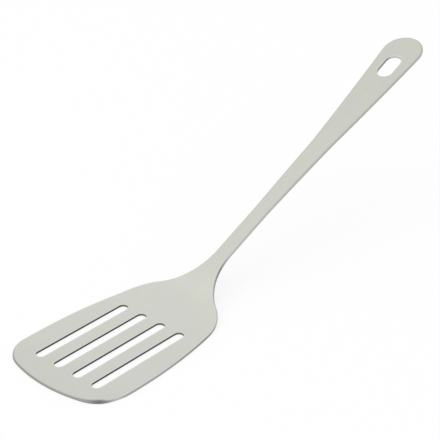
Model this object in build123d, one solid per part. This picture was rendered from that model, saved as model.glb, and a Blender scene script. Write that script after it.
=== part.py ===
from build123d import *
from math import acos, asin, atan2, cos, degrees, hypot, radians, sin, sqrt, tan
import os

# One-piece slotted turner, stamped from stainless sheet and bent upwards at the heel.
# The origin is the middle of the blade's underside. +X runs from the blade to the handle.
# Lengths are in millimetres and angles in degrees.

# Sheet
blade_thickness = 1.2
handle_thickness = 1.8
rim_radius = 0.4
slot_rim_radius = 0.15

# Drain slots
slot_length = 69.1
slot_width = 5.8
slot_pitch = 14.7
slot_count = 4
front_land = 15.6
heel_land = 5.4

# Blade, seen from above, with its side's corners placed from the heel
blade_width = 80.8
front_radius = 94.0
corner_radius = 20.2
taper_before_heel = 24.8
shoulder_past_heel = 16.2
shoulder_inset = 8.5
neck_past_heel = 34.2
neck_width = 10.6

# How much of the shorter free run beside a corner its rounding takes up
side_round_share = 0.705
shoulder_round_share = 0.95
neck_round_share = 0.965
stem_start_round_share = 0.166
stem_end_round_share = 0.093

# Bend at the heel and the handle's two long shallow curves, on the upper face
heel_angle = 24.7
heel_radius = 66.3
droop_radius = 2700.0
lift_radius = 2100.0

# Handle, from the neck's narrow stretch to its end
neck_length = 38.7
stem_length = 61.1
grip_length = 103.9
stem_end_width = 14.5
grip_width = 28.0

# Hanging slot
hang_length = 19.4
hang_width = 10.9
hang_land = 18.5

# How far the strip and the cutting tools run past the finished edges
overrun = 10.0

# Places along the blade, worked out from the sizes
front_x = -(front_land + slot_length / 2)
heel_x = slot_length / 2 + heel_land
heel_end_x = heel_x + heel_radius * sin(radians(heel_angle))
corner_y = blade_width / 2 - corner_radius
corner_x = front_x + front_radius - sqrt((front_radius - corner_radius) ** 2 - corner_y**2)
taper_x = heel_x - taper_before_heel

# Lengths of the blade's taper and slope, and how far its roundings reach from their corners
taper_length = hypot(taper_before_heel + shoulder_past_heel, shoulder_inset)
slope_length = hypot(
    neck_past_heel - shoulder_past_heel, blade_width / 2 - shoulder_inset - neck_width / 2
)
side_reach = side_round_share * min(taper_x - corner_x, taper_length)
shoulder_reach = shoulder_round_share * min(taper_length - side_reach, slope_length)
neck_reach = neck_round_share * (slope_length - shoulder_reach)
neck_x = heel_x + neck_past_heel + neck_reach

# Distances along the handle from the end of the heel bend
neck_start = (neck_x - heel_end_x) / cos(radians(heel_angle))
neck_end = neck_start + neck_length
stem_end = neck_end + stem_length
handle_end = stem_end + grip_length


def face_line(height, bend_radius, droop, lift):
    """One face of the sheet seen from the side, from the front edge to the handle's end."""
    droop_angle = degrees(handle_end / 2 / droop_radius)
    lift_angle = degrees((handle_end / 2 + overrun) / lift_radius)
    flat = Line((front_x - overrun, height), (heel_x, height))
    bend = JernArc(flat @ 1, flat % 1, bend_radius, heel_angle)
    droop_arc = JernArc(bend @ 1, bend % 1, droop, -droop_angle)
    lift_arc = JernArc(droop_arc @ 1, droop_arc % 1, lift, lift_angle)
    return [flat, bend, droop_arc, lift_arc]


def bent_strip():
    """The bent sheet before its outline is cut, thickening from blade to handle in the bend."""
    turn = cos(radians(heel_angle))
    growth = (handle_thickness - blade_thickness * turn) / (1 - turn)
    upper = face_line(blade_thickness, heel_radius, droop_radius, lift_radius)
    lower = face_line(
        0, heel_radius + growth, droop_radius - handle_thickness, lift_radius + handle_thickness
    )
    ends = [Line(lower[0] @ 0, upper[0] @ 0), Line(lower[-1] @ 1, upper[-1] @ 1)]
    side_view = make_face(Curve() + upper + lower + ends)
    return extrude(Plane.XZ * side_view, blade_width / 2 + overrun, both=True)


def rounded_line(corners, reaches):
    """A line through corners, each rounded from its reach before the corner to its reach past it."""
    radii = []
    for before, corner, after, reach in zip(corners, corners[1:], corners[2:], reaches):
        heading = Vector(corner) - Vector(before)
        turn = heading.get_angle(Vector(after) - Vector(corner))
        radii.append(reach / tan(radians(turn) / 2))
    return FilletPolyline(*corners, radius=radii)


def mirrored_face(crossing, upper_side):
    """A face that mirrors its upper side about the centre line, closed by edges that cross it."""
    lower_side = [mirror(edge, about=Plane.XZ) for edge in upper_side]
    return make_face(Curve() + crossing + upper_side + lower_side)


def blade_outline():
    """Blade, shoulders and neck seen from above."""
    half_width = blade_width / 2
    spread = degrees(asin(corner_y / (front_radius - corner_radius)))
    front = CenterArc((front_x + front_radius, 0), front_radius, 180 - spread, 2 * spread)
    corner = CenterArc((corner_x, corner_y), corner_radius, 90, 90 - spread)
    end_x = neck_x + neck_length / 2
    side = rounded_line(
        [
            (corner_x, half_width),
            (taper_x, half_width),
            (heel_x + shoulder_past_heel, half_width - shoulder_inset),
            (heel_x + neck_past_heel, neck_width / 2),
            (end_x, neck_width / 2),
        ],
        [side_reach, shoulder_reach, neck_reach],
    )
    end = Line((end_x, neck_width / 2), (end_x, -neck_width / 2))
    return mirrored_face([front, end], [corner, side])


def handle_plane():
    """The upper face of the handle where the bend ends, with its X axis along the handle."""
    rise = heel_radius * (1 - cos(radians(heel_angle)))
    heading = (cos(radians(heel_angle)), 0, sin(radians(heel_angle)))
    normal = (-sin(radians(heel_angle)), 0, cos(radians(heel_angle)))
    return Plane(origin=(heel_end_x, 0, blade_thickness + rise), x_dir=heading, z_dir=normal)


def handle_outline():
    """Neck, stem and rounded grip, square to the handle."""
    grip_half = grip_width / 2
    grip_centre = handle_end - grip_half
    from_centre = Vector(stem_end - grip_centre, stem_end_width / 2)
    lean = degrees(atan2(from_centre.Y, from_centre.X) - acos(grip_half / from_centre.length))
    end_arc = CenterArc((grip_centre, 0), grip_half, -lean, 2 * lean)
    side = rounded_line(
        [
            (neck_start, neck_width / 2),
            (neck_end, neck_width / 2),
            (stem_end, stem_end_width / 2),
            end_arc @ 1,
        ],
        [neck_length * stem_start_round_share, stem_length * stem_end_round_share],
    )
    start = Line((neck_start, neck_width / 2), (neck_start, -neck_width / 2))
    return mirrored_face([start, end_arc], [side])


def drain_slots():
    """The blade's row of parallel slots."""
    places = GridLocations(0, slot_pitch, 1, slot_count)
    return Sketch() + [place * SlotOverall(slot_length, slot_width) for place in places]


def hang_slot():
    """The round-ended slot near the grip's end."""
    middle = handle_end - hang_land - hang_length / 2
    return Pos(middle, 0) * SlotOverall(hang_length, hang_width)


def outlined_sheet():
    """The bent sheet cut to its outline, with both rims rounded."""
    strip = bent_strip()
    blade = extrude(blade_outline(), handle_end, both=True)
    handle = extrude(handle_plane() * handle_outline(), overrun, both=True)
    outline = blade + handle
    sheet = strip & outline
    return fillet(new_edges(strip, outline, combined=sheet), rim_radius)


def turner_body():
    """The finished turner, with its slots punched through and their rims eased."""
    sheet = outlined_sheet()
    slots = extrude(drain_slots(), overrun, both=True)
    hanger = extrude(handle_plane() * hang_slot(), overrun, both=True)
    punched = sheet - slots - hanger
    return fillet(new_edges(sheet, slots, hanger, combined=punched), slot_rim_radius)


os.makedirs("parts", exist_ok=True)
export_step(turner_body(), "parts/turner_body.step")
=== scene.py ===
from math import acos, asin, atan2, cos, hypot, pi, radians, sin, sqrt, tan

import bpy
import numpy as np
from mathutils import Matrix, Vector
from mathutils.geometry import delaunay_2d_cdt

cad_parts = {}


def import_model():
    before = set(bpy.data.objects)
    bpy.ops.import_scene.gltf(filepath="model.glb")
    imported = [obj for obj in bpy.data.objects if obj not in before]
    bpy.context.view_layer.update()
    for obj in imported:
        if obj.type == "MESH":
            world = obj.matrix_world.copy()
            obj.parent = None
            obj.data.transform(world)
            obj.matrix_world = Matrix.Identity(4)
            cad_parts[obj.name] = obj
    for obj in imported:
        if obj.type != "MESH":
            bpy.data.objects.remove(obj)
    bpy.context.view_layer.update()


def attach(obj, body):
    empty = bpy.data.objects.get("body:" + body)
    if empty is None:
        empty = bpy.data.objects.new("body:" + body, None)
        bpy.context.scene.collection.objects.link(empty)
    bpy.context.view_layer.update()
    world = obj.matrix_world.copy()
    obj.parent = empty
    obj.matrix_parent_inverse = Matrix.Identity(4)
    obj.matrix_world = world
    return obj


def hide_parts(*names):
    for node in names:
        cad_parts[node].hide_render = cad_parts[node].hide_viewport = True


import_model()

# Everything is in metres, in the part's own frame.
# The origin is the middle of the blade's underside, +X runs to the handle and +Z is up.
MM = 0.001

# Sheet
blade_thickness = 1.2 * MM
handle_thickness = 1.8 * MM
slot_rim_radius = 0.15 * MM

# Upper rims: how far the rounding reaches in over the face, and how far it drops down the wall
front_rim_reach = 1.2 * MM
side_rim_reach = 0.6 * MM
handle_rim_reach = 1.2 * MM
blade_rim_drop = 0.45 * MM
handle_rim_drop = 0.85 * MM

# Lower rims, rounded to an even radius
blade_under_rim = 0.25 * MM
handle_under_rim = 0.7 * MM

# Wear: the whole outline is rubbed back a hair, and the near front corner more, with a bevelled
# rim. Painted shade darkens the wall round that bevel, and a painted reflection lightens the wall
# where the corner is rubbed back. An angle says where round the corner it is, and a spread how far
# it runs from there.
rubbed_back = 0.04 * MM
worn_back_and_lit_wall_angle = radians(253)
worn_back_spread = 6.5 * MM
worn_back_depth = 0.7 * MM
worn_rim_and_shade_angle = radians(224)
worn_rim_reach = 2.1 * MM
worn_front_spread = 9.5 * MM
worn_and_painted_side_spread = 4.0 * MM
corner_shade_spread = 5.0 * MM

# Drain slots
slot_length = 69.1 * MM
slot_width = 5.8 * MM
slot_pitch = 14.7 * MM
slot_count = 4
front_land = 15.6 * MM
heel_land = 5.4 * MM

# Blade outline
blade_width = 80.8 * MM
front_radius = 94.0 * MM
corner_radius = 20.2 * MM
taper_before_heel = 24.8 * MM
shoulder_past_heel = 16.2 * MM
shoulder_inset = 8.5 * MM
neck_past_heel = 34.2 * MM
neck_width = 10.6 * MM

# How much of the shorter free run beside a corner its rounding takes up
side_round_share = 0.705
shoulder_round_share = 0.95
neck_round_share = 0.965
stem_start_round_share = 0.166
stem_end_round_share = 0.093

# Heel bend and the handle's shallow curves, on the upper face
heel_angle = radians(24.7)
heel_radius = 66.3 * MM
droop_radius = 2700.0 * MM
lift_radius = 2100.0 * MM

# Handle
neck_length = 38.7 * MM
stem_length = 61.1 * MM
grip_length = 103.9 * MM
stem_end_width = 14.5 * MM
grip_width = 28.0 * MM
hang_length = 19.4 * MM
hang_width = 10.9 * MM
hang_land = 18.5 * MM

# Mesh fineness: the longest chord on an arc and on a straight run, and the face lattice
arc_step = 0.5 * MM
arc_points_least = 3
line_step = 2.5 * MM
lattice_step = 2.5 * MM

# Rings that follow each edge: over its rounding, and on the plain margin beside it
rounding_steps = 5
margin_shares = (1.0, 0.5, 0.2)
rim_margin = 2.0 * MM

# How near two points count as one when a face is filled, in millimetres
fill_gap = 1e-6

# Painted reflection on the faces along the sheet, beside the plain steel: brightest over the heel,
# dimmer at the front edge, the neck and the grip
front_tone = 0.99
blade_tone = 1.022
heel_tone = 1.045
neck_tone = 0.99
stem_tone = 1.01
grip_tone = 0.985

# Tone of the cut walls, mostly painted shade and painted reflection on top of the cut's own darker
# colour:
# how bright each wall shows, dark where it is shaded and lighter where it reflects the bright
# surroundings
slot_wall_tone = 0.075
slot_end_tone = 0.16
slot_end_sharpness = 6
hang_wall_tone = 0.32
hang_end_tone = 0.62
front_wall_tone = 0.34
corner_wall_shade_tone = 0.19
lit_corner_wall_tone = 0.52
side_wall_tone = 0.37
heel_wall_tone = 0.27
shoulder_wall_tone = 0.44
neck_wall_tone = 0.25
stem_wall_tone = 0.51
grip_wall_tone = 0.45

# Places worked out from the sizes
front_x = -(front_land + slot_length / 2)
heel_x = slot_length / 2 + heel_land
heel_end_x = heel_x + heel_radius * sin(heel_angle)
heel_length = heel_radius * heel_angle
half_width = blade_width / 2
corner_y = half_width - corner_radius
corner_x = front_x + front_radius - sqrt((front_radius - corner_radius) ** 2 - corner_y**2)
taper_x = heel_x - taper_before_heel
taper_length = hypot(taper_before_heel + shoulder_past_heel, shoulder_inset)
slope_length = hypot(
    neck_past_heel - shoulder_past_heel, half_width - shoulder_inset - neck_width / 2
)
side_reach = side_round_share * min(taper_x - corner_x, taper_length)
shoulder_reach = shoulder_round_share * min(taper_length - side_reach, slope_length)
neck_reach = neck_round_share * (slope_length - shoulder_reach)
neck_x = heel_x + neck_past_heel + neck_reach
neck_start = (neck_x - heel_end_x) / cos(heel_angle)
neck_end = neck_start + neck_length
stem_end = neck_end + stem_length
handle_end = stem_end + grip_length
handle_x = heel_x + heel_length


# The upper face seen from the side

def arc_point(start, tilt, radius, length):
    """Where an arc leads after a length; a negative radius turns down."""
    turned = tilt + length / radius
    x = start[0] + radius * (np.sin(turned) - np.sin(tilt))
    z = start[1] - radius * (np.cos(turned) - np.cos(tilt))
    return x, z, turned


def upper_face(along):
    """Place and tilt of the upper face at distances measured along it from above the origin."""
    bend = np.clip(along - heel_x, 0, heel_length)
    droop = np.clip(along - handle_x, 0, handle_end / 2)
    lift = np.maximum(along - handle_x - handle_end / 2, 0)
    x, z, tilt = arc_point((np.minimum(along, heel_x), blade_thickness), 0.0, heel_radius, bend)
    x, z, tilt = arc_point((x, z), tilt, -droop_radius, droop)
    return arc_point((x, z), tilt, lift_radius, lift)


def thickness(along):
    """Sheet thickness, which grows from blade to handle through the heel bend."""
    final = cos(heel_angle)
    growth = (handle_thickness - blade_thickness * final) / (1 - final)
    turned = np.cos(np.clip(along - heel_x, 0, heel_length) / heel_radius)
    return blade_thickness * turned + growth * (1 - turned)


def along_from_x(x):
    """Distance along the upper face of a point that is drawn on the plan at x."""
    bend = heel_radius * np.arcsin(np.clip((x - heel_x) / heel_radius, 0, sin(heel_angle)))
    stem = np.maximum(x - heel_end_x, 0) / cos(heel_angle)
    return np.minimum(x, heel_x) + bend + stem


# Outlines as closed loops of points on the unrolled sheet

def arc(centre, radius, first, last):
    """Points on an arc between two angles."""
    count = max(arc_points_least, int(abs(last - first) * radius / arc_step) + 1)
    angles = np.linspace(first, last, count)
    return np.stack([centre[0] + radius * np.cos(angles), centre[1] + radius * np.sin(angles)], 1)


def rounded_line(corners, reaches):
    """A line through corners, each rounded by an arc that starts at its reach from the corner."""
    corners = [np.array(corner, float) for corner in corners]
    points = [corners[:1]]
    for before, corner, after, reach in zip(corners, corners[1:], corners[2:], reaches):
        arriving = (corner - before) / np.linalg.norm(corner - before)
        leaving = (after - corner) / np.linalg.norm(after - corner)
        side = np.sign(arriving[0] * leaving[1] - arriving[1] * leaving[0])
        turn = acos(np.clip(arriving @ leaving, -1, 1))
        radius = reach / tan(turn / 2)
        centre = corner - arriving * reach + side * radius * np.array([-arriving[1], arriving[0]])
        first = atan2(*(corner - arriving * reach - centre)[::-1])
        points.append(arc(centre, radius, first, first + side * turn))
    points.append(corners[-1:])
    return np.concatenate(points)


def subdivided(points):
    """The same line with no chord longer than the line step."""
    out = [points[:1]]
    for start, end in zip(points, points[1:]):
        count = max(1, int(np.ceil(np.linalg.norm(end - start) / line_step)))
        shares = np.arange(1, count + 1)[:, None] / count
        out.append(start + (end - start) * shares)
    return np.concatenate(out)


def without_repeats(points):
    """Drops points that lie on the one before."""
    gaps = np.linalg.norm(points - np.roll(points, 1, 0), axis=1)
    return points[gaps > slot_rim_radius / 2]


def sheet_outline():
    """The whole outline on the unrolled sheet, anticlockwise seen from above."""
    spread = asin(corner_y / (front_radius - corner_radius))
    front = arc((front_x + front_radius, 0), front_radius, pi, pi - spread)
    corner = arc((corner_x, corner_y), corner_radius, pi - spread, pi / 2)
    side = rounded_line(
        [
            (corner_x, half_width),
            (taper_x, half_width),
            (heel_x + shoulder_past_heel, half_width - shoulder_inset),
            (heel_x + neck_past_heel, neck_width / 2),
            (neck_x, neck_width / 2),
        ],
        [side_reach, shoulder_reach, neck_reach],
    )
    blade = subdivided(np.concatenate([front, corner, side]))
    blade[:, 0] = along_from_x(blade[:, 0])
    upper = np.concatenate([blade, subdivided(handle_side())])
    loop = without_repeats(np.concatenate([upper * [1, -1], upper[::-1]]))
    near_corner = corner_weight(loop, worn_back_and_lit_wall_angle, worn_back_spread, worn_back_spread)
    return loop - outward(loop) * (rubbed_back + worn_back_depth * near_corner)[:, None]


def handle_side():
    """The handle's upper side from the neck to the middle of the grip's round end."""
    grip_half = grip_width / 2
    grip_centre = handle_end - grip_half
    from_centre = (stem_end - grip_centre, stem_end_width / 2)
    lean = atan2(from_centre[1], from_centre[0]) - acos(grip_half / hypot(*from_centre))
    tangent = (grip_centre + grip_half * cos(lean), grip_half * sin(lean))
    side = rounded_line(
        [
            (neck_start, neck_width / 2),
            (neck_end, neck_width / 2),
            (stem_end, stem_end_width / 2),
            tangent,
        ],
        [neck_length * stem_start_round_share, stem_length * stem_end_round_share],
    )
    end = arc((grip_centre, 0), grip_half, lean, 0)
    return np.concatenate([side, end]) + [handle_x, 0]


def slot_outline(centre, length, width):
    """A round-ended slot, clockwise seen from above."""
    run = (length - width) / 2
    right = arc((run, 0), width / 2, pi / 2, -pi / 2)
    return without_repeats(subdivided(np.concatenate([right, -right, right[:1]])) + centre)


def slot_outlines():
    """All the drain slots and the hanging slot."""
    rows = (np.arange(slot_count) - (slot_count - 1) / 2) * slot_pitch
    drains = [slot_outline((0, row), slot_length, slot_width) for row in rows]
    hang_x = handle_x + handle_end - hang_land - hang_length / 2
    return drains + [slot_outline((hang_x, 0), hang_length, hang_width)]


# The sheet's mesh

def outward(loop):
    """Unit vectors from the metal into the open at each point of a loop."""
    run = np.roll(loop, -1, 0) - np.roll(loop, 1, 0)
    run /= np.linalg.norm(run, axis=1)[:, None]
    return np.stack([run[:, 1], -run[:, 0]], 1)


def inside(points, loops):
    """Which points lie inside an odd number of loops."""
    odd = np.zeros(len(points), bool)
    for loop in loops:
        for (x0, y0), (x1, y1) in zip(loop, np.roll(loop, -1, 0)):
            if y0 == y1:
                continue
            crosses = (points[:, 1] < y0) != (points[:, 1] < y1)
            at = x0 + (points[:, 1] - y0) * (x1 - x0) / (y1 - y0)
            odd ^= crosses & (points[:, 0] < at)
    return odd


def lattice(loops):
    """Points spread over the sheet's face, clear of the loops that bound it."""
    low = np.min(loops[0], 0)
    high = np.max(loops[0], 0)
    rows = int(high[1] / lattice_step)
    xs = np.arange(low[0], high[0], lattice_step)
    ys = np.arange(-rows, rows + 1) * lattice_step
    grid = np.stack(np.meshgrid(xs, ys), -1).reshape(-1, 2)
    grid = grid[inside(grid, loops)]
    nearest = distance_to(grid, loops)
    clear = nearest > lattice_step / 2
    return grid[clear], nearest[clear]


def distance_to(points, loops):
    """Distance from each point to the nearest point of the loops."""
    edge = np.concatenate(loops)
    return np.min(np.linalg.norm(points[:, None] - edge[None], axis=2), 1)


def corner_weight(loop, angle, front_spread, side_spread):
    """How near each point of the outline is to a place at an angle round the worn corner, from 0 to
    1; it sets the wear and the painted shade and light on the wall there.
    """
    middle = np.array([corner_x, -corner_y]) + corner_radius * np.array([cos(angle), sin(angle)])
    spread = np.where(loop[:, 0] < middle[0], front_spread, side_spread)
    return np.exp(-((np.linalg.norm(loop - middle, axis=1) / spread) ** 2))


def slot_wall_shade(loop):
    """Painted shade on a slot's wall, dark along its sides, with a painted reflection brightening
    its round ends.
    """
    if loop[:, 0].max() < heel_x:
        side_tone, end_tone = slot_wall_tone, slot_end_tone
    else:
        side_tone, end_tone = hang_wall_tone, hang_end_tone
    return end_tone + (side_tone - end_tone) * outward(loop)[:, 1] ** slot_end_sharpness


def outline_wall_shade(loop):
    """Painted shade on the outline's wall: dark round the blade and neck, lighter on the stem and
    grip.
    """
    neck = handle_x + neck_start
    shoulder = heel_x + shoulder_past_heel
    places = [front_x, 0, heel_x, shoulder, neck - neck_width, neck, handle_x + stem_end]
    blade_tones = [front_wall_tone, side_wall_tone, heel_wall_tone, shoulder_wall_tone]
    handle_tones = [neck_wall_tone, stem_wall_tone, grip_wall_tone]
    tone = np.interp(loop[:, 0], places, blade_tones + handle_tones)
    # A painted reflection lightens the wall where the corner is rubbed back
    painted_lighter = corner_weight(loop, worn_back_and_lit_wall_angle, worn_and_painted_side_spread, worn_and_painted_side_spread)
    tone += painted_lighter * (lit_corner_wall_tone - tone)
    # Painted shade on the wall round the bevelled rim at the near front corner
    near_corner = corner_weight(loop, worn_rim_and_shade_angle, corner_shade_spread, worn_and_painted_side_spread)
    return tone + near_corner * (corner_wall_shade_tone - tone)


def face_sheen(along):
    """The painted reflection on the faces along the sheet, beside the plain steel."""
    blade = [-slot_length / 2, front_land - slot_length / 2, heel_x / 2]
    heel = [heel_x, heel_x + heel_length / 2]
    grip = stem_end + grip_length / 2
    handle = [handle_x + length for length in (neck_start, neck_end, stem_end, grip)]
    tones = [front_tone, blade_tone, blade_tone, heel_tone, heel_tone]
    tones += [neck_tone, stem_tone, stem_tone, grip_tone]
    return np.interp(along, blade + heel + handle, tones)


def upper_rim(loop, slot):
    """Reach over the face and drop down the wall of the upper rounding along a loop."""
    if slot:
        even = np.full(len(loop), slot_rim_radius)
        return even, even
    places = [front_x, corner_x, handle_x, handle_x + neck_length]
    reaches = [front_rim_reach, side_rim_reach, side_rim_reach, handle_rim_reach]
    reach = np.interp(loop[:, 0], places, reaches)
    near_corner = corner_weight(loop, worn_rim_and_shade_angle, worn_front_spread, worn_and_painted_side_spread)
    reach += worn_rim_reach * near_corner
    drop = np.interp(loop[:, 0], [heel_x, handle_x], [blade_rim_drop, handle_rim_drop])
    return reach, drop


def lower_rim(loop, slot):
    """Radius of the lower rounding along a loop."""
    if slot:
        return np.full(len(loop), slot_rim_radius)
    return np.interp(loop[:, 0], [heel_x, handle_x], [blade_under_rim, handle_under_rim])


def ring_steps():
    """Steps from the face over its rounding: how far back towards the face, and the angle."""
    quarter = np.linspace(0, pi / 2, rounding_steps + 1)
    return [(share, 0.0) for share in margin_shares] + [(0.0, angle) for angle in quarter]


def place(flat, depth, out, up):
    """Carries points of the unrolled sheet, at depths below its upper face, to their place."""
    x, z, tilt = upper_face(flat[:, 0])
    along = np.stack([np.cos(tilt), 0 * tilt, np.sin(tilt)], 1)
    above = np.stack([-np.sin(tilt), 0 * tilt, np.cos(tilt)], 1)
    points = np.stack([x, flat[:, 1], z], 1) - above * depth[:, None]
    normals = out[:, :1] * along + out[:, 1:] * [0, 1, 0] + above * up[:, None]
    return points, normals


class Sheet:
    """Vertices and faces of the bent sheet as they are gathered.

    Each vertex also keeps its place on the unrolled sheet, with its depth below the upper face,
    and its place on the edge: how far round the rim, how far from the edge, and the wall's tone,
    which is painted shade.
    """

    def __init__(self):
        self.points = []
        self.normals = []
        self.sheet = []
        self.edge = []
        self.faces = []
        self.walls = []
        self.count = 0

    def add_points(self, flat, depth, out, up, edge):
        """Adds points and returns their numbers."""
        points, normals = place(flat, depth, out, up)
        self.points.append(points)
        self.normals.append(normals)
        self.sheet.append(np.column_stack([flat, depth]))
        self.edge.append(edge)
        self.count += len(flat)
        return np.arange(self.count - len(flat), self.count)

    def add_side(self, loop, tone, inner, reach, drop, below):
        """Adds the rings of one side, from the inner line on its face to the wall."""
        out = outward(loop)
        rings = []
        for share, angle in ring_steps():
            back = reach * (1 - sin(angle)) + share * (inner - reach)
            flat = loop - out * back[:, None]
            depth = drop * (1 - cos(angle))
            sideways = drop * sin(angle)
            up = reach * cos(angle)
            size = np.hypot(sideways, up)
            turn = np.full(len(loop), angle / pi)
            if below:
                depth = thickness(flat[:, 0]) - depth
                up = -up
                turn = 1 - turn
            edge = np.column_stack([turn, back, tone])
            rings.append(
                self.add_points(flat, depth, out * (sideways / size)[:, None], up / size, edge)
            )
        return rings

    def add_rings(self, loop, slot):
        """Adds a loop's whole edge and returns its innermost rings above and below."""
        tone = slot_wall_shade(loop) if slot else outline_wall_shade(loop)
        under = lower_rim(loop, slot)
        reach, drop = upper_rim(loop, slot)
        upper = self.add_side(loop, tone, reach + rim_margin, reach, drop, False)
        lower = self.add_side(loop, tone, reach + rim_margin, under, under, True)
        rings = upper + lower[::-1]
        for step, (first, second) in enumerate(zip(rings, rings[1:])):
            band = np.stack([first, second, np.roll(second, -1), np.roll(first, -1)], 1)
            self.add_faces(band, step == len(upper) - 1)
        return rings[0], rings[-1]

    def add_faces(self, faces, wall=False):
        """Adds faces, marked as cut wall or not."""
        self.faces += faces.tolist()
        self.walls += [wall] * len(faces)

    def mesh(self, name):
        """The gathered sheet as a mesh with exact normals."""
        mesh = bpy.data.meshes.new(name)
        mesh.from_pydata(np.concatenate(self.points).tolist(), [], self.faces)
        mesh.polygons.foreach_set("use_smooth", [True] * len(self.faces))
        mesh.polygons.foreach_set("material_index", np.array(self.walls, np.int32))
        mesh.normals_split_custom_set_from_vertices(np.concatenate(self.normals).tolist())
        for key, values in (("sheet", self.sheet), ("edge", self.edge)):
            store = mesh.attributes.new(key, "FLOAT_VECTOR", "POINT")
            store.data.foreach_set("vector", np.concatenate(values).ravel())
        # The painted reflection along the sheet
        store = mesh.attributes.new("face_sheen", "FLOAT", "POINT")
        store.data.foreach_set("value", face_sheen(np.concatenate(self.sheet)[:, 0]))
        return mesh


def face_triangles(loops, middle):
    """Triangles that fill the sheet's face between its loops, through the lattice points."""
    edges = []
    first = 0
    for loop in loops:
        index = np.arange(first, first + len(loop))
        edges += np.stack([index, np.roll(index, -1)], 1).tolist()
        first += len(loop)
    points = np.concatenate(loops + [middle])
    scaled = [Vector(point) for point in (points / MM).tolist()]
    triangles = np.array(delaunay_2d_cdt(scaled, edges, [], 0, fill_gap)[2])
    return triangles[inside(points[triangles].mean(1), loops)]


def sheet_mesh(name):
    """The bent sheet as one closed mesh with rounded rims."""
    sheet = Sheet()
    loops = [sheet_outline()] + slot_outlines()
    above, below, inner = [], [], []
    for number, loop in enumerate(loops):
        top, bottom = sheet.add_rings(loop, number > 0)
        above.append(top)
        below.append(bottom)
        back = upper_rim(loop, number > 0)[0] + rim_margin
        inner.append(loop - outward(loop) * back[:, None])
    middle, nearest = lattice(inner)
    triangles = face_triangles(inner, middle)
    still = np.zeros_like(middle)
    for rings, depth, up, order in (
        (above, 0 * nearest, 1, 1),
        (below, thickness(middle[:, 0]), -1, -1),
    ):
        turn = (1 - up) / 2 + 0 * nearest
        edge = np.column_stack([turn, nearest + rim_margin, 0 * nearest])
        added = sheet.add_points(middle, depth, still, up + 0 * nearest, edge)
        numbers = np.concatenate(rings + [added])
        sheet.add_faces(numbers[triangles[:, ::order]])
    return sheet.mesh(name)


# Finish

def add_node(tree, kind, values=(), **settings):
    """A new node with its settings and its inputs' values or links."""
    node = tree.nodes.new("ShaderNode" + kind)
    for key, value in settings.items():
        setattr(node, key, value)
    for key, value in dict(values).items():
        if isinstance(value, bpy.types.NodeSocket):
            tree.links.new(value, node.inputs[key])
        else:
            node.inputs[key].default_value = value
    return node


def new_metal(name):
    """A metal material, its node tree and its shader."""
    material = bpy.data.materials.new(name)
    material.use_nodes = True
    shader = material.node_tree.nodes["Principled BSDF"]
    shader.inputs["Metallic"].default_value = 1
    return material, material.node_tree, shader


def sheet_noise(tree, lengths, detail=2):
    """Noise on the unrolled sheet with features of the given lengths along, across and through."""
    sheet = add_node(tree, "Attribute", attribute_name="sheet")
    scale = tuple(1 / length for length in lengths)
    scaled = add_node(
        tree, "VectorMath", {0: sheet.outputs["Vector"], 1: scale}, operation="MULTIPLY"
    )
    values = {"Vector": scaled.outputs[0], "Scale": 1, "Detail": detail}
    return add_node(tree, "TexNoise", values).outputs[0]


def sheet_parts(tree):
    """Distances along and across the unrolled sheet and the depth below its upper face."""
    sheet = add_node(tree, "Attribute", attribute_name="sheet")
    return add_node(tree, "SeparateXYZ", {0: sheet.outputs["Vector"]}).outputs


def remap(tree, value, low, high, to_low, to_high):
    """A value moved from one range to another, held at its ends."""
    values = {"Value": value, 1: low, 2: high, 3: to_low, 4: to_high}
    return add_node(tree, "MapRange", values).outputs[0]


def maths(tree, operation, *values):
    """The result of one sum on values or links."""
    return add_node(tree, "Math", dict(enumerate(values)), operation=operation).outputs[0]


def mix_colour(tree, share, first, second, blend="MIX"):
    """Two colours blended."""
    values = {0: share, 6: first, 7: second}
    return add_node(tree, "Mix", values, data_type="RGBA", blend_type=blend).outputs[2]


def edge_parts(tree):
    """How far round the rim from face to face, how far from the edge, and the wall's painted shade
    there.
    """
    edge = add_node(tree, "Attribute", attribute_name="edge")
    return add_node(tree, "SeparateXYZ", {0: edge.outputs["Vector"]}).outputs


def times(tree, value, colour):
    """A colour multiplied by a value."""
    grey = add_node(tree, "CombineColor", {0: value, 1: value, 2: value}).outputs[0]
    return mix_colour(tree, 1.0, colour, grey, "MULTIPLY")


def bumps(tree, height, strength, distance):
    """Normals that follow a height."""
    values = {"Strength": strength, "Distance": distance, "Height": height}
    return add_node(tree, "Bump", values).outputs[0]


# Colours
steel_cool = (0.602, 0.611, 0.580, 1)
steel_warm = (0.610, 0.620, 0.558, 1)
handle_tint = (0.996, 0.991, 0.974, 1)
edge_highlight = (0.70, 0.71, 0.66, 1)
wall_tint = (1.0, 1.0, 0.95, 1)

# Fine lengthwise grain: its features along, across and through the sheet, the part of the noise
# that is used, and what that makes of tone, roughness and height
grain_lengths = (14 * MM, 0.16 * MM, 1 * MM)
grain_span = (0.2, 0.8)
grain_tones = (0.965, 1.035)
grain_roughness = (0.30, 0.42)
grain_bump = 0.15
grain_height = 0.02 * MM

# Faint long streaks and broad patches, in the same way
streak_lengths = (90 * MM, 1.6 * MM, 4 * MM)
streak_span = (0.3, 0.7)
streak_tones = (-0.012, 0.012)
patch_lengths = (22 * MM, 14 * MM, 8 * MM)
patch_span = (0.35, 0.65)

# A painted highlight along the edges, where the rims catch the light, and a surface that use has
# rubbed smoother there, as far in as the width
edge_highlight_and_rub_width = 1.3 * MM
edge_highlight_share = 0.45
rubbed_smoothing = 0.08

# Where the face turns to raw wall with its painted shade, round the rim from 0 on the upper face to
# 1 on the lower one;
# the lower rounding keeps the wall's painted shade nearly to the underside, where the rim faces the
# floor
upper_turn = (0.02, 0.18)
lower_turn = (0.92, 1.0)


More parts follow.
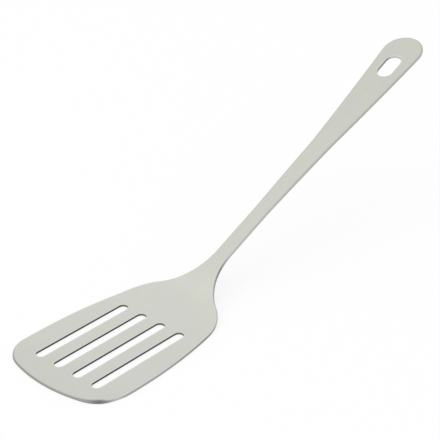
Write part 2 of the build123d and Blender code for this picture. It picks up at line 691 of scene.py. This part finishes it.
def face_colour(tree, grain):
    """Faint patches, streaks and grain, with the painted reflection along the sheet, warmer on the
    handle.
    """
    patches = remap(tree, sheet_noise(tree, patch_lengths), *patch_span, 0, 1)
    streaks = remap(tree, sheet_noise(tree, streak_lengths), *streak_span, *streak_tones)
    lines = maths(tree, "ADD", remap(tree, grain, *grain_span, *grain_tones), streaks)
    tone = add_node(tree, "Attribute", attribute_name="face_sheen").outputs["Fac"]
    tone = maths(tree, "MULTIPLY", tone, lines)
    colour = times(tree, tone, mix_colour(tree, patches, steel_cool, steel_warm))
    warm = remap(tree, sheet_parts(tree)[0], heel_x, handle_x + neck_end, 0, 1)
    return mix_colour(tree, warm, colour, handle_tint, "MULTIPLY")


def satin_steel():
    """Even satin stainless with a painted highlight along its edges, turning to raw wall, with its
    painted shade, over its rims.
    """
    material, tree, shader = new_metal("satin_steel")
    grain = sheet_noise(tree, grain_lengths)
    turn, inset, tone = edge_parts(tree)
    # The painted edge highlight, strongest at the edge
    painted_lighter = remap(tree, inset, 0, edge_highlight_and_rub_width, edge_highlight_share, 0)
    face = mix_colour(tree, painted_lighter, face_colour(tree, grain), edge_highlight)
    over = remap(tree, turn, *upper_turn, 0, 1)
    under = remap(tree, turn, *lower_turn, 1, 0)
    # Share of the wall's painted shade over the rims
    raw = maths(tree, "MINIMUM", over, under)
    colour = mix_colour(tree, raw, face, times(tree, tone, wall_tint))
    tree.links.new(colour, shader.inputs["Base Color"])
    smoother = remap(tree, inset, 0, edge_highlight_and_rub_width, -rubbed_smoothing, 0)
    rough = maths(tree, "ADD", remap(tree, grain, *grain_span, *grain_roughness), smoother)
    tree.links.new(rough, shader.inputs["Roughness"])
    tree.links.new(bumps(tree, grain, grain_bump, grain_height), shader.inputs["Normal"])
    return material


# Striae down the cut walls, in the same way as the grain
stria_lengths = (0.35 * MM, 0.35 * MM, 3 * MM)
stria_detail = 3
stria_span = (0.25, 0.75)
stria_tones = (0.85, 1.15)
stria_rough_span = (0.2, 0.8)
stria_roughness = (0.38, 0.6)
stria_bump = 0.3
stria_height = 0.05 * MM

# The smooth band that the punch leaves, down to a share of the blade's thickness, and the raw
# break that has taken over at another. The band is lighter and the break darker, partly their own
# finish and partly painted shade that darkens the wall's lower part.
burnished_share = 0.3
broken_share = 0.5
burnished_and_lit_tone = 1.12
broken_and_shaded_tone = 0.94


def cut_steel():
    """The stamped wall: a smoother, lighter band under the upper rim, then a darker raw broken
    surface, partly painted shade.
    """
    material, tree, shader = new_metal("cut_steel")
    striae = sheet_noise(tree, stria_lengths, stria_detail)
    burnished, broken = blade_thickness * burnished_share, blade_thickness * broken_share
    depth = sheet_parts(tree)[2]
    # Lighter above and darker below: partly the band and break's own finish, partly painted shade
    bands = remap(tree, depth, burnished, broken, burnished_and_lit_tone, broken_and_shaded_tone)
    worked = maths(tree, "MULTIPLY", bands, remap(tree, striae, *stria_span, *stria_tones))
    tone = maths(tree, "MULTIPLY", edge_parts(tree)[2], worked)
    tree.links.new(times(tree, tone, wall_tint), shader.inputs["Base Color"])
    rough = remap(tree, striae, *stria_rough_span, *stria_roughness)
    tree.links.new(rough, shader.inputs["Roughness"])
    tree.links.new(bumps(tree, striae, stria_bump, stria_height), shader.inputs["Normal"])
    return material


def turner():
    """The turner, standing for its solid."""
    mesh = sheet_mesh("turner")
    piece = bpy.data.objects.new("turner", mesh)
    bpy.context.scene.collection.objects.link(piece)
    mesh.materials.append(satin_steel())
    mesh.materials.append(cut_steel())
    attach(piece, "root")
    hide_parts("turner_body")
    return piece


# Studio

floor_size = 6.0
floor_gap = 0.05 * MM
floor_colour = (0.95, 0.95, 0.95, 1)
floor_white_share = 0.75

# A large soft lamp, high up on the far side and out beyond the front edge
lamp_place = Vector((-0.5, 0.5, 1.2))
lamp_aim = Vector((0.1, 0, 0))
lamp_size = 1.0
lamp_power = 1.0

# The photograph's view. The azimuth turns from -Y towards +X, and the lens is in millimetres.
camera_azimuth = radians(-48.35)
camera_elevation = radians(28.70)
camera_distance = 832.9 * MM
camera_target = Vector((106.7 * MM, 13.8 * MM, 31.2 * MM))
camera_lens = 113.6
camera_clip_start = 10 * MM


def seen_as_background(tree):
    """A value of 1 for rays that should meet plain white: from the camera or off metal."""
    path = add_node(tree, "LightPath").outputs
    reflected = maths(tree, "MAXIMUM", path["Is Glossy Ray"], path["Is Transmission Ray"])
    return maths(tree, "MAXIMUM", path["Is Camera Ray"], reflected)


def floor_paint():
    """A matt pale surface that is mostly plain white to the camera and in metal."""
    material = bpy.data.materials.new("floor")
    material.use_nodes = True
    tree = material.node_tree
    shader = tree.nodes["Principled BSDF"]
    shader.inputs["Base Color"].default_value = floor_colour
    shader.inputs["Roughness"].default_value = 1
    shader.inputs["Specular IOR Level"].default_value = 0
    share = maths(tree, "MULTIPLY", seen_as_background(tree), floor_white_share)
    white = add_node(tree, "Emission")
    mix = add_node(tree, "MixShader", {0: share, 1: shader.outputs[0], 2: white.outputs[0]})
    tree.links.new(mix.outputs[0], tree.nodes["Material Output"].inputs["Surface"])
    return material


def floor():
    """A plain floor just under the blade that keeps a soft shadow."""
    half = floor_size / 2
    mesh = bpy.data.meshes.new("floor")
    corners = [(-half, -half), (half, -half), (half, half), (-half, half)]
    mesh.from_pydata([(x, y, -floor_gap) for x, y in corners], [], [(0, 1, 2, 3)])
    mesh.materials.append(floor_paint())
    plane = bpy.data.objects.new("floor", mesh)
    bpy.context.scene.collection.objects.link(plane)


def world():
    """Even white surroundings at a strength of 1."""
    sky = bpy.data.worlds.new("studio")
    sky.use_nodes = True
    background = sky.node_tree.nodes["Background"]
    background.inputs["Color"].default_value = (1, 1, 1, 1)
    background.inputs["Strength"].default_value = 1
    bpy.context.scene.world = sky


def softbox():
    """The square area lamp."""
    lamp = bpy.data.lights.new("softbox", "AREA")
    lamp.size = lamp_size
    lamp.energy = lamp_power
    item = bpy.data.objects.new("softbox", lamp)
    item.location = lamp_place
    item.rotation_euler = (lamp_place - lamp_aim).to_track_quat("Z", "Y").to_euler()
    bpy.context.scene.collection.objects.link(item)


def camera():
    """The camera at the photograph's place."""
    lens = bpy.data.cameras.new("camera")
    lens.lens = camera_lens
    lens.clip_start = camera_clip_start
    item = bpy.data.objects.new("camera", lens)
    back = Vector(
        (
            sin(camera_azimuth) * cos(camera_elevation),
            -cos(camera_azimuth) * cos(camera_elevation),
            sin(camera_elevation),
        )
    )
    item.location = camera_target + back * camera_distance
    item.rotation_euler = back.to_track_quat("Z", "Y").to_euler()
    bpy.context.scene.collection.objects.link(item)
    bpy.context.scene.camera = item


turner()
floor()
world()
softbox()
camera()
bpy.context.scene.view_settings.view_transform = "Standard"
